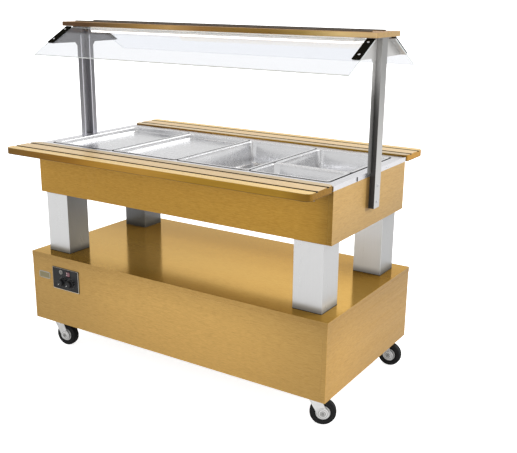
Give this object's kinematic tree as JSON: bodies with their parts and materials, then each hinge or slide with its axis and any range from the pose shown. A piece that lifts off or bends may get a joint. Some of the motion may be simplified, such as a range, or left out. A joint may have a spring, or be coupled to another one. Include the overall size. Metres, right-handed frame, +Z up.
{
  "type": "steam table",
  "caption": "Mobile steam table: heated well with lift-out food pans in a veneered cabinet on castors, tray slides, lamp canopy and sloped glass guards.",
  "frame": {"origin": "on the floor, under the middle of the cabinet", "axes": "+X along the length towards the end away from the controls, +Y across the depth from the control side to the far side, +Z up"},
  "size_m": [1.482, 0.968, 1.406],
  "materials": {
    "veneer": "satin lacquered golden veneer",
    "veneer_end": "satin lacquered golden veneer, lighter end panels",
    "oak": "satin lacquered light solid wood",
    "column_steel": "vertical brush",
    "well_steel": "long brush with soft reflections",
    "pan_steel": "satin pressed stainless",
    "post_steel": "vertical brush",
    "lamp_white": "white enamel",
    "insulation": "mineral wool board",
    "element": "heat-tinted tube",
    "brass": "plain pipe fittings",
    "lever_red": "dipped coating",
    "black_strip": "matte black",
    "diffuser": "opal",
    "glass": "clear, polished edges",
    "screw_steel": "bright",
    "control_black": "fine grain",
    "zinc_box": "galvanised sheet",
    "rocker_red": "translucent red",
    "pilot_lens": "clear lens",
    "cord_black": "matte",
    "castor_zinc": "light grey zinc",
    "tyre": "matte black tread"
  },
  "bodies": {
    "table": {"base_top_board": "veneer", "base_front_panel": "veneer", "base_rear_panel": "veneer", "base_left_panel": "veneer_end", "base_right_panel": "veneer_end", "base_bottom_board": "veneer", "column_front_left": "column_steel", "column_front_right": "column_steel", "column_rear_left": "column_steel", "column_rear_right": "column_steel", "upper_front_panel": "veneer", "upper_rear_panel": "veneer", "upper_left_panel": "veneer_end", "upper_right_panel": "veneer_end", "upper_bottom_board": "veneer", "water_well": "well_steel", "well_insulation": "insulation", "heating_element": "element", "drain_pipe": "brass", "tray_slide_front": "oak", "tray_slide_rear": "oak", "tray_brackets": "post_steel", "post_left": "post_steel", "post_right": "post_steel", "canopy_board": "oak", "canopy_strips": "black_strip", "lamp_housing": "lamp_white", "lamp_diffuser": "diffuser", "glass_front": "glass", "glass_rear": "glass", "glass_clamps": "black_strip", "m5_screws": "screw_steel", "control_plate": "control_black", "control_box": "zinc_box", "pilot_lamp": "pilot_lens", "power_cord": "cord_black", "castor_plates": "castor_zinc"},
    "swivel_front_left": {"fork_front_left": "castor_zinc"},
    "wheel_front_left": {"hub_front_left": "castor_zinc", "tyre_front_left": "tyre"},
    "swivel_front_right": {"fork_front_right": "castor_zinc"},
    "wheel_front_right": {"hub_front_right": "castor_zinc", "tyre_front_right": "tyre"},
    "swivel_rear_left": {"fork_rear_left": "castor_zinc"},
    "wheel_rear_left": {"hub_rear_left": "castor_zinc", "tyre_rear_left": "tyre"},
    "swivel_rear_right": {"fork_rear_right": "castor_zinc"},
    "wheel_rear_right": {"hub_rear_right": "castor_zinc", "tyre_rear_right": "tyre"},
    "pedal_front": {"brake_pedal_front": "black_strip"},
    "pedal_rear": {"brake_pedal_rear": "black_strip"},
    "pan_full_1": {"pan_full_1": "pan_steel"},
    "pan_full_2": {"pan_full_2": "pan_steel"},
    "pan_full_3": {"pan_full_3": "pan_steel"},
    "pan_third": {"pan_third": "pan_steel"},
    "pan_two_thirds": {"pan_two_thirds": "pan_steel"},
    "drain_lever": {"drain_lever": "lever_red"},
    "knob_heat": {"knob_heat": "control_black"},
    "knob_lamp": {"knob_lamp": "control_black"},
    "rocker": {"rocker_switch": "rocker_red"}
  },
  "joints": [
    {"name": "swivel_front_left", "type": "hinge", "parent": "table", "child": "swivel_front_left", "pos_m": [-0.645, -0.308, 0.115], "axis": [0, 0, 1], "continuous": true},
    {"name": "roll_front_left", "type": "hinge", "parent": "swivel_front_left", "child": "wheel_front_left", "pos_m": [-0.60124, -0.3034, 0.05], "axis": [-0.1045, 0.9945, 0], "continuous": true},
    {"name": "swivel_front_right", "type": "hinge", "parent": "table", "child": "swivel_front_right", "pos_m": [0.645, -0.308, 0.115], "axis": [0, 0, 1], "continuous": true},
    {"name": "roll_front_right", "type": "hinge", "parent": "swivel_front_right", "child": "wheel_front_right", "pos_m": [0.6842, -0.28802, 0.05], "axis": [-0.454, 0.891, 0], "continuous": true},
    {"name": "swivel_rear_left", "type": "hinge", "parent": "table", "child": "swivel_rear_left", "pos_m": [-0.645, 0.308, 0.115], "axis": [0, 0, 1], "continuous": true},
    {"name": "roll_rear_left", "type": "hinge", "parent": "swivel_rear_left", "child": "wheel_rear_left", "pos_m": [-0.60365, 0.29295, 0.05], "axis": [0.342, 0.9397, 0], "continuous": true},
    {"name": "swivel_rear_right", "type": "hinge", "parent": "table", "child": "swivel_rear_right", "pos_m": [0.645, 0.308, 0.115], "axis": [0, 0, 1], "continuous": true},
    {"name": "roll_rear_right", "type": "hinge", "parent": "swivel_rear_right", "child": "wheel_rear_right", "pos_m": [0.68889, 0.31107, 0.05], "axis": [-0.0698, 0.9976, 0], "continuous": true},
    {"name": "brake_front", "type": "hinge", "parent": "swivel_front_left", "child": "pedal_front", "pos_m": [-0.62312, -0.3057, 0.1045], "axis": [-0.1045, 0.9945, 0], "range_deg": [0, 10]},
    {"name": "brake_rear", "type": "hinge", "parent": "swivel_rear_left", "child": "pedal_rear", "pos_m": [-0.62433, 0.30048, 0.1045], "axis": [0.342, 0.9397, 0], "range_deg": [0, 10]},
    {"name": "lift_pan_full_1", "type": "slide", "parent": "table", "child": "pan_full_1", "axis": [0, 0, 1], "range_m": [0, 0.12]},
    {"name": "lift_pan_full_2", "type": "slide", "parent": "table", "child": "pan_full_2", "axis": [0, 0, 1], "range_m": [0, 0.12]},
    {"name": "lift_pan_full_3", "type": "slide", "parent": "table", "child": "pan_full_3", "axis": [0, 0, 1], "range_m": [0, 0.12]},
    {"name": "lift_pan_third", "type": "slide", "parent": "table", "child": "pan_third", "axis": [0, 0, 1], "range_m": [0, 0.12]},
    {"name": "lift_pan_two_thirds", "type": "slide", "parent": "table", "child": "pan_two_thirds", "axis": [0, 0, 1], "range_m": [0, 0.12]},
    {"name": "drain_valve", "type": "hinge", "parent": "table", "child": "drain_lever", "pos_m": [-0.45, 0.232, 0.098], "axis": [0, 1, 0], "range_deg": [0, 90]},
    {"name": "heat_control", "type": "hinge", "parent": "table", "child": "knob_heat", "pos_m": [-0.549, -0.35, 0.325], "axis": [0, 1, 0], "range_deg": [0, 270]},
    {"name": "lamp_control", "type": "hinge", "parent": "table", "child": "knob_lamp", "pos_m": [-0.503, -0.35, 0.325], "axis": [0, 1, 0], "range_deg": [0, 270]},
    {"name": "main_switch", "type": "hinge", "parent": "table", "child": "rocker", "pos_m": [-0.515, -0.356, 0.364], "axis": [1, 0, 0], "range_deg": [0, 14]}
  ]
}
